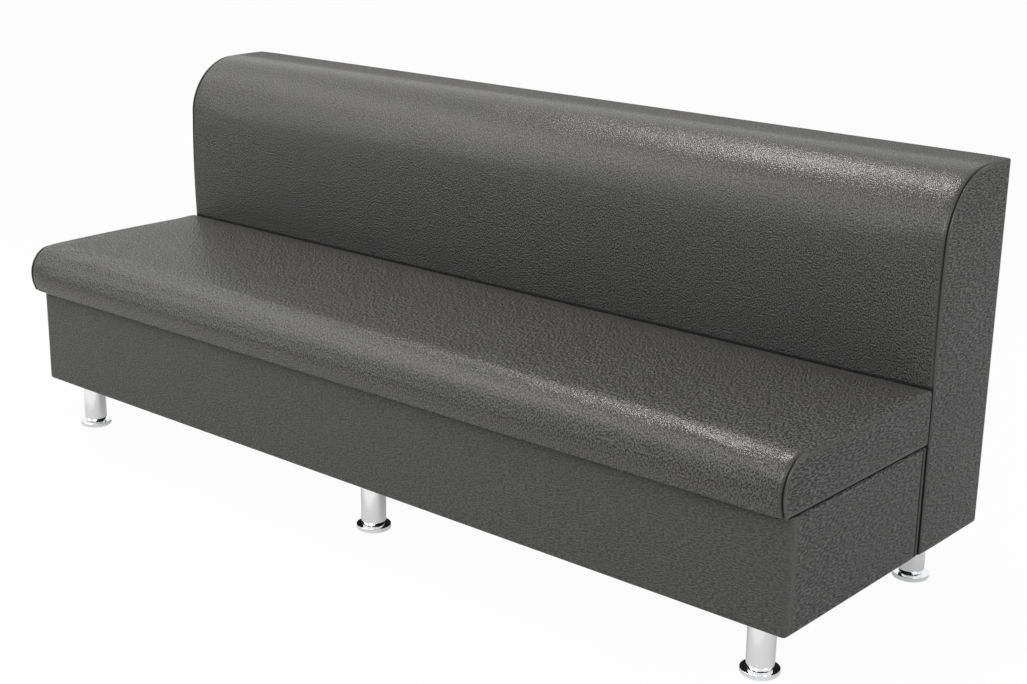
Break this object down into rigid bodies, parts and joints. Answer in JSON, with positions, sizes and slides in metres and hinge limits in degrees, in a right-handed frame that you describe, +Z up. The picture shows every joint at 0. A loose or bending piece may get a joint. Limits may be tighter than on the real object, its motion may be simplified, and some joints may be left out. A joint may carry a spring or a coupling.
{
  "type": "upholstered bench",
  "caption": "Long straight cafe bench with a rolled seat cushion on a covered box, a tall padded back with a rounded top, and chrome legs on screw feet.",
  "frame": {"origin": "on the floor, under the middle of the bench's length and depth", "axes": "+X along the bench, to the right of someone who faces it; the sitter faces -Y; +Z up"},
  "size_m": [2, 0.712, 0.81],
  "materials": {
    "artificial_leather": "dark grey artificial leather with a fine pebble grain, satin",
    "chrome": "polished chrome plate",
    "plywood": "raw plywood",
    "foam": "cut polyurethane foam",
    "dust_cloth": "thin black dust cloth",
    "zinc_plated_steel": "zinc plated",
    "washer": "black plastic",
    "glide": "black nylon"
  },
  "bodies": {
    "bench": {"back_bottom_board": "plywood", "back_cover": "artificial_leather", "back_dust_cover": "dust_cloth", "back_end_padding": "foam", "back_foam": "foam", "back_front_board": "plywood", "back_left_end_panel": "artificial_leather", "back_left_end_rib": "plywood", "back_left_rib": "plywood", "back_lower_board": "plywood", "back_middle_rib": "plywood", "back_rear_board": "plywood", "back_rear_cover": "artificial_leather", "back_right_end_panel": "artificial_leather", "back_right_end_rib": "plywood", "back_right_rib": "plywood", "back_roll_board": "plywood", "back_top_rail": "plywood", "box_cover": "artificial_leather", "box_dust_cover": "dust_cloth", "box_front_cleat": "plywood", "box_front_rail": "plywood", "box_left_end": "plywood", "box_left_rib": "plywood", "box_leg_board": "plywood", "box_middle_rib": "plywood", "box_padding": "foam", "box_rear_cleat": "plywood", "box_rear_rail": "plywood", "box_right_end": "plywood", "box_right_rib": "plywood", "joining_bolts": "zinc_plated_steel", "joining_nuts": "zinc_plated_steel", "leg_nuts": "zinc_plated_steel", "leg_tube_front_left": "chrome", "leg_tube_front_middle": "chrome", "leg_tube_front_right": "chrome", "leg_tube_rear_left": "chrome", "leg_tube_rear_middle": "chrome", "leg_tube_rear_right": "chrome", "leg_washers": "washer", "seat_board": "plywood", "seat_cover": "artificial_leather", "seat_foam": "foam", "seat_left_end_panel": "artificial_leather", "seat_right_end_panel": "artificial_leather", "seat_screws": "zinc_plated_steel"},
    "front_left_glide": {"foot_glide_front_left": "glide"},
    "front_left_foot": {"foot_disc_front_left": "chrome"},
    "front_middle_glide": {"foot_glide_front_middle": "glide"},
    "front_middle_foot": {"foot_disc_front_middle": "chrome"},
    "front_right_glide": {"foot_glide_front_right": "glide"},
    "front_right_foot": {"foot_disc_front_right": "chrome"},
    "rear_left_glide": {"foot_glide_rear_left": "glide"},
    "rear_left_foot": {"foot_disc_rear_left": "chrome"},
    "rear_middle_glide": {"foot_glide_rear_middle": "glide"},
    "rear_middle_foot": {"foot_disc_rear_middle": "chrome"},
    "rear_right_glide": {"foot_glide_rear_right": "glide"},
    "rear_right_foot": {"foot_disc_rear_right": "chrome"}
  },
  "joints": [
    {"name": "front_left_foot_travel", "type": "slide", "parent": "bench", "child": "front_left_glide", "axis": [0, 0, -1], "range_m": [0, 0.015]},
    {"name": "front_left_foot_turn", "type": "hinge", "parent": "front_left_glide", "child": "front_left_foot", "pos_m": [-0.918, -0.257, 0.006], "axis": [0, 0, -1], "range_deg": [0, 3600]},
    {"name": "front_middle_foot_travel", "type": "slide", "parent": "bench", "child": "front_middle_glide", "axis": [0, 0, -1], "range_m": [0, 0.015]},
    {"name": "front_middle_foot_turn", "type": "hinge", "parent": "front_middle_glide", "child": "front_middle_foot", "pos_m": [0, -0.257, 0.006], "axis": [0, 0, -1], "range_deg": [0, 3600]},
    {"name": "front_right_foot_travel", "type": "slide", "parent": "bench", "child": "front_right_glide", "axis": [0, 0, -1], "range_m": [0, 0.015]},
    {"name": "front_right_foot_turn", "type": "hinge", "parent": "front_right_glide", "child": "front_right_foot", "pos_m": [0.918, -0.257, 0.006], "axis": [0, 0, -1], "range_deg": [0, 3600]},
    {"name": "rear_left_foot_travel", "type": "slide", "parent": "bench", "child": "rear_left_glide", "axis": [0, 0, -1], "range_m": [0, 0.015]},
    {"name": "rear_left_foot_turn", "type": "hinge", "parent": "rear_left_glide", "child": "rear_left_foot", "pos_m": [-0.918, 0.269, 0.006], "axis": [0, 0, -1], "range_deg": [0, 3600]},
    {"name": "rear_middle_foot_travel", "type": "slide", "parent": "bench", "child": "rear_middle_glide", "axis": [0, 0, -1], "range_m": [0, 0.015]},
    {"name": "rear_middle_foot_turn", "type": "hinge", "parent": "rear_middle_glide", "child": "rear_middle_foot", "pos_m": [0, 0.269, 0.006], "axis": [0, 0, -1], "range_deg": [0, 3600]},
    {"name": "rear_right_foot_travel", "type": "slide", "parent": "bench", "child": "rear_right_glide", "axis": [0, 0, -1], "range_m": [0, 0.015]},
    {"name": "rear_right_foot_turn", "type": "hinge", "parent": "rear_right_glide", "child": "rear_right_foot", "pos_m": [0.918, 0.269, 0.006], "axis": [0, 0, -1], "range_deg": [0, 3600]}
  ],
  "couplings": [
    {"joint": "front_left_foot_travel", "follows": "front_left_foot_turn", "m_per_rad": 0.00023873},
    {"joint": "front_middle_foot_travel", "follows": "front_middle_foot_turn", "m_per_rad": 0.00023873},
    {"joint": "front_right_foot_travel", "follows": "front_right_foot_turn", "m_per_rad": 0.00023873},
    {"joint": "rear_left_foot_travel", "follows": "rear_left_foot_turn", "m_per_rad": 0.00023873},
    {"joint": "rear_middle_foot_travel", "follows": "rear_middle_foot_turn", "m_per_rad": 0.00023873},
    {"joint": "rear_right_foot_travel", "follows": "rear_right_foot_turn", "m_per_rad": 0.00023873}
  ]
}
